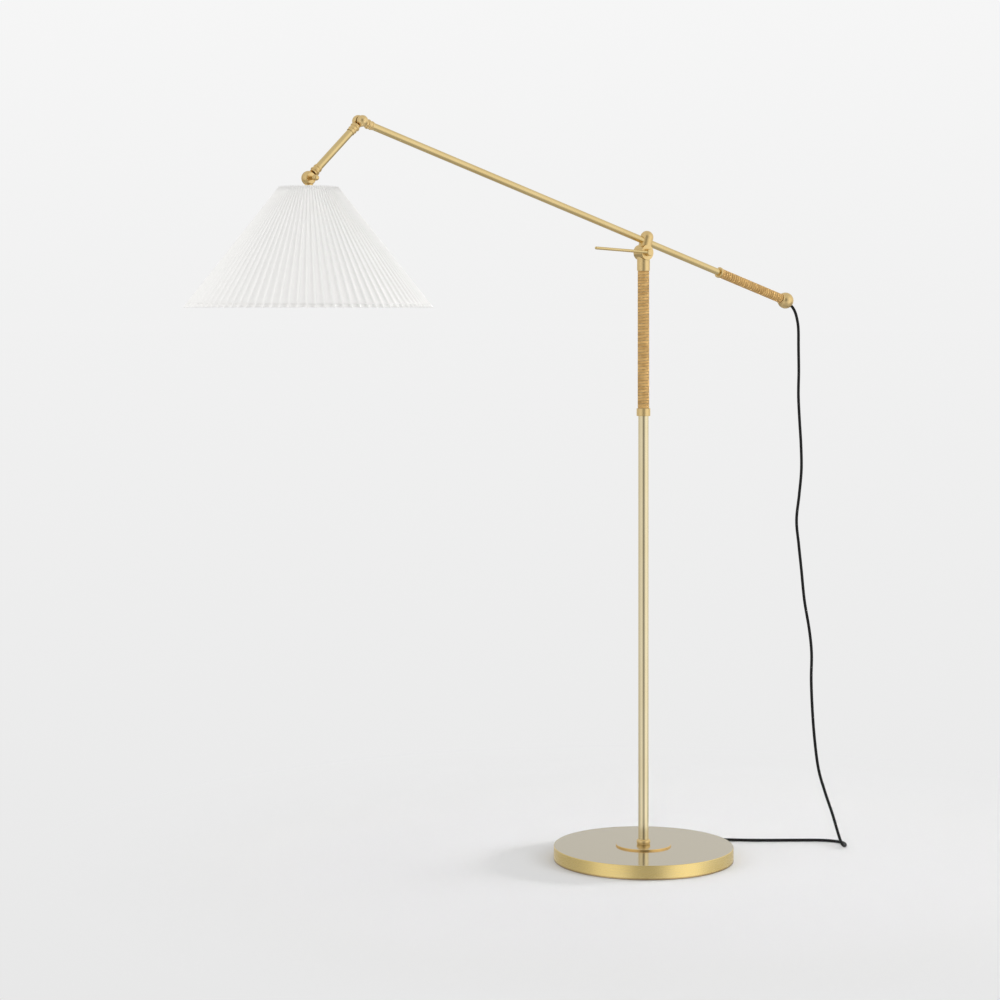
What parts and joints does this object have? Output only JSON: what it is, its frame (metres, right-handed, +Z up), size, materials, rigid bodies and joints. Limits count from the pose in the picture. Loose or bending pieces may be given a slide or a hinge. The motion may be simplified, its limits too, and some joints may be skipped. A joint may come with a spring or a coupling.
{
  "type": "bridge floor lamp",
  "caption": "Satin brass bridge floor lamp: round base, cane-bound grip, tilting boom held by a lever clamp, folding elbow and a white pleated shade.",
  "frame": {"origin": "Centre of the base's underside, on the floor.", "axes": "+Z up the pole. +X along the boom's floor line towards the cane handle and the cord, so the shade is at -X. -Y is the front, with the clamp lever and the thumb screw."},
  "size_m": [1.3436, 0.4128, 1.3398],
  "materials": {
    "satin_brass": "satin, clear lacquered",
    "cast_iron": "rough cast, dark primer",
    "felt": "dense black felt",
    "zinc_steel": "zinc plated",
    "dark_washer": "dark fibre",
    "cane": "split cane, varnished, satin",
    "black_cord": "braided rayon sleeve, soft sheen",
    "black_plastic": "moulded, semi-matt",
    "lead_insulation": "smooth insulation",
    "white_wire": "white enamel",
    "bulb_glass": "frosted inside",
    "bulb_metal": "rolled thread",
    "shade_lining": "white translucent laminate",
    "pleated_fabric": "white knife-pleated cotton"
  },
  "bodies": {
    "root": {"base_pad": "felt", "base_weight": "cast_iron", "base_cover": "satin_brass", "base_nut": "zinc_steel", "base_washer": "zinc_steel", "tie_rod": "zinc_steel", "base_flange": "satin_brass", "foot_collar": "satin_brass", "pole_insert": "zinc_steel", "pole_tube": "satin_brass", "lower_ferrule": "satin_brass", "pole_wrap": "cane", "head_collar": "satin_brass", "draw_bolt": "satin_brass", "draw_nut": "zinc_steel", "cord_drop": "black_cord", "cord_coil": "black_cord", "cord_tie": "black_plastic", "cord_plug": "black_plastic", "plug_blades": "zinc_steel"},
    "boom": {"boom_head": "satin_brass", "boom_grub_screw": "zinc_steel", "boom_tube": "satin_brass", "handle_collar": "satin_brass", "handle_sleeve": "satin_brass", "handle_wrap": "cane", "end_ball": "satin_brass", "cord_bushing": "black_plastic", "boom_lead": "lead_insulation", "boom_ferrule": "satin_brass", "elbow_boom_half": "satin_brass", "elbow_bolt": "satin_brass", "elbow_washer": "dark_washer"},
    "lever": {"clamp_shaft": "satin_brass", "lever_rod": "satin_brass", "rear_nut": "satin_brass"},
    "arm": {"elbow_arm_half": "satin_brass", "arm_upper_ferrule": "satin_brass", "arm_tube": "satin_brass", "arm_lead": "lead_insulation", "arm_lower_ferrule": "satin_brass", "shade_joint_cup": "satin_brass"},
    "shade": {"shade_joint_stem": "satin_brass", "stem_nipple": "zinc_steel", "shade_spider": "white_wire", "spider_nut": "zinc_steel", "lampholder_cap": "satin_brass", "lampholder_shell": "satin_brass", "lampholder_core": "black_plastic", "bulb_glass": "bulb_glass", "bulb_base": "bulb_metal", "shade_liner": "shade_lining", "pleated_cover": "pleated_fabric", "top_binding": "pleated_fabric", "bottom_binding": "pleated_fabric", "bottom_ring": "white_wire"},
    "thumb_screw": {"thumb_screw": "satin_brass"},
    "switch_key": {"switch_key": "black_plastic"}
  },
  "joints": [
    {"name": "boom_tilt", "type": "hinge", "parent": "root", "child": "boom", "pos_m": [0, 0, 1.1166], "axis": [0, 1, 0], "range_deg": [-30, 40]},
    {"name": "lever_turn", "type": "hinge", "parent": "root", "child": "lever", "pos_m": [0, 0, 1.1166], "axis": [0, -1, 0], "range_deg": [-8, 110]},
    {"name": "elbow_fold", "type": "hinge", "parent": "boom", "child": "arm", "pos_m": [-0.63257, 0, 1.32916], "axis": [0, 1, 0], "range_deg": [-25, 75]},
    {"name": "shade_tilt", "type": "hinge", "parent": "arm", "child": "shade", "pos_m": [-0.73686, 0, 1.22985], "axis": [0, 1, 0], "range_deg": [-25, 45]},
    {"name": "thumb_turn", "type": "hinge", "parent": "arm", "child": "thumb_screw", "pos_m": [-0.73686, 0, 1.22985], "axis": [0, -1, 0], "range_deg": [0, 270]},
    {"name": "switch_turn", "type": "hinge", "parent": "shade", "child": "switch_key", "pos_m": [-0.73686, 0, 1.17685], "axis": [1, 0, 0], "continuous": true}
  ]
}
